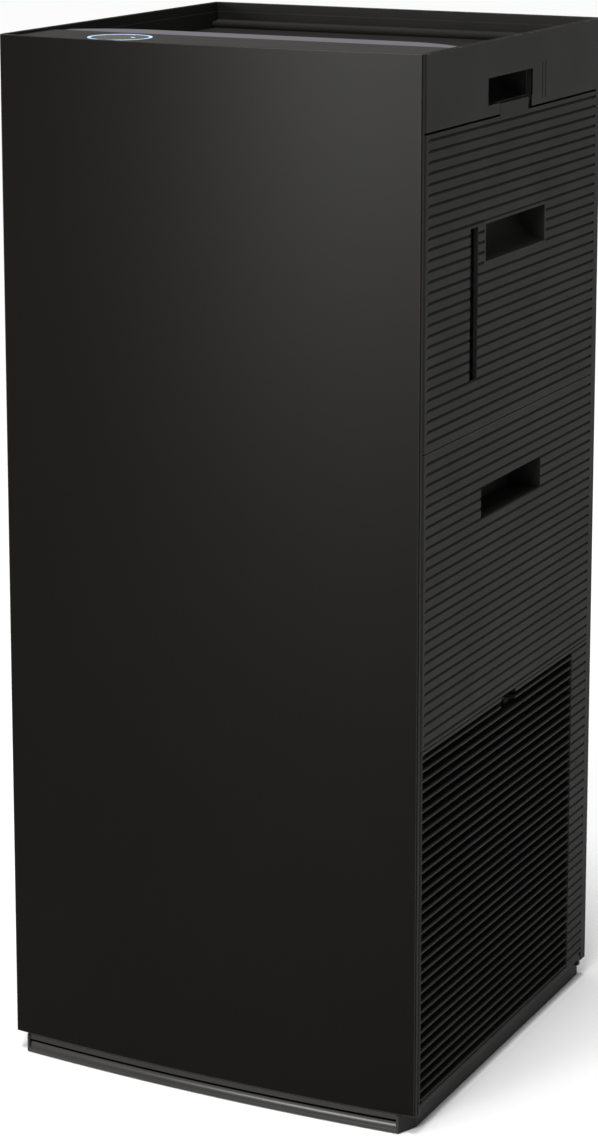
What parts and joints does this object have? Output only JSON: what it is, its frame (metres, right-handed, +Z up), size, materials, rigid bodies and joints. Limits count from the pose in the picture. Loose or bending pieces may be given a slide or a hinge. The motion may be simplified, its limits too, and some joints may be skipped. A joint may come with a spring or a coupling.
{
  "type": "air purifier",
  "caption": "Slim floor-standing tower air purifier with humidifier: louvred side intakes, top outlet flap, pull-out water tank and tray, and carry grips.",
  "frame": {"origin": "on the floor, under the middle of the whole outline in X and Y", "axes": "+Z up, front panel towards -Y, water tank and tray towards +X"},
  "size_m": [0.322, 0.324, 0.742],
  "materials": {
    "panel": "satin",
    "housing": "matte",
    "frame_finish": "matte",
    "plinth": "matte",
    "trim": "gloss",
    "deck": "satin",
    "flap_finish": "semi-gloss",
    "insert": "satin",
    "inner": "matte",
    "mesh": "woven mesh",
    "filter_paper": "pleated",
    "carbon": "granular",
    "light": "lit",
    "window": "gloss",
    "circuit": "lacquered",
    "steel": "zinc plated",
    "motor_metal": "cast",
    "rotor": "satin",
    "gear_plastic": "satin",
    "tank_plastic": "smoky, translucent",
    "tray_plastic": "satin",
    "wheel_fabric": "felt",
    "float_foam": "foam",
    "rubber": "matte"
  },
  "bodies": {
    "chassis": {"base_plinth": "plinth", "base_trim": "trim", "foot_pads": "rubber", "inner_chassis": "inner", "front_panel": "panel", "front_wall": "inner", "rear_cover": "housing", "cord_gland": "rubber", "mid_deck": "inner", "duct_wall": "inner", "top_deck": "inner", "tank_side_frame": "inner", "side_panel_left": "housing", "hepa_filter_left": "filter_paper", "hepa_filter_right": "filter_paper", "deodorising_filter_left": "carbon", "deodorising_filter_right": "carbon", "fan_housing_left": "inner", "fan_housing_right": "inner", "inlet_rings": "inner", "motor_bracket": "steel", "fan_motor": "motor_metal", "screws": "steel", "wheel_motor": "motor_metal", "top_frame": "frame_finish", "handle_insert_left": "insert", "handle_insert_right": "insert", "control_deck": "deck", "light_ring": "light", "display_window": "window", "control_board": "circuit", "outlet_liner": "inner", "outlet_grille": "insert", "flap_motor": "motor_metal", "board_case": "inner", "main_board": "circuit", "ioniser_unit": "inner", "dust_sensor": "inner"},
    "fan": {"fan_rotor": "rotor", "fan_shaft": "steel"},
    "flap": {"outlet_flap": "flap_finish", "flap_gear": "gear_plastic"},
    "flap_drive": {"flap_drive_gear": "gear_plastic"},
    "tank": {"tank_body": "tank_plastic", "tank_cap": "gear_plastic", "cap_seal": "rubber", "tank_cover": "housing"},
    "valve": {"cap_valve": "gear_plastic"},
    "tray": {"tray_basin": "tray_plastic", "tray_cover": "housing", "feed_pipe": "tray_plastic"},
    "wheel": {"wheel_frame": "gear_plastic", "wheel_media": "wheel_fabric", "wheel_axle": "steel"},
    "pinion": {"wheel_pinion": "gear_plastic"},
    "float": {"water_float": "float_foam"},
    "left_cover": {"louvre_cover_left": "housing", "prefilter_left": "mesh"},
    "right_cover": {"louvre_cover_right": "housing", "prefilter_right": "mesh"}
  },
  "joints": [
    {"name": "fan_spin", "type": "hinge", "parent": "chassis", "child": "fan", "pos_m": [-0.044, 0.005, 0.14], "axis": [1, 0, 0], "continuous": true},
    {"name": "flap_tilt", "type": "hinge", "parent": "chassis", "child": "flap", "pos_m": [0, 0.1498, 0.7255], "axis": [-1, 0, 0], "range_deg": [0, 70]},
    {"name": "flap_drive_turn", "type": "hinge", "parent": "chassis", "child": "flap_drive", "pos_m": [0.154, 0.1498, 0.7135], "axis": [-1, 0, 0], "range_deg": [-70, 0]},
    {"name": "tank_slide", "type": "slide", "parent": "chassis", "child": "tank", "axis": [1, 0, 0], "range_m": [0, 0.13]},
    {"name": "valve_lift", "type": "slide", "parent": "tank", "child": "valve", "axis": [0, 0, 1], "range_m": [0, 0.003]},
    {"name": "tray_slide", "type": "slide", "parent": "chassis", "child": "tray", "axis": [1, 0, 0], "range_m": [0, 0.17]},
    {"name": "wheel_spin", "type": "hinge", "parent": "tray", "child": "wheel", "pos_m": [0.02, 0, 0.377], "axis": [1, 0, 0], "continuous": true},
    {"name": "pinion_spin", "type": "hinge", "parent": "chassis", "child": "pinion", "pos_m": [0.01, 0.07071, 0.44771], "axis": [1, 0, 0], "continuous": true},
    {"name": "float_tilt", "type": "hinge", "parent": "tray", "child": "float", "pos_m": [0.06, 0.1096, 0.318], "axis": [-1, 0, 0], "range_deg": [0, 12]},
    {"name": "left_cover_tilt", "type": "hinge", "parent": "chassis", "child": "left_cover", "pos_m": [-0.1575, 0, 0.019], "axis": [0, -1, 0], "range_deg": [0, 75]},
    {"name": "right_cover_tilt", "type": "hinge", "parent": "chassis", "child": "right_cover", "pos_m": [0.1575, 0, 0.019], "axis": [0, 1, 0], "range_deg": [0, 75]}
  ],
  "couplings": [
    {"joint": "flap_drive_turn", "follows": "flap_tilt", "ratio": -1},
    {"joint": "pinion_spin", "follows": "wheel_spin", "ratio": -7.3333}
  ]
}
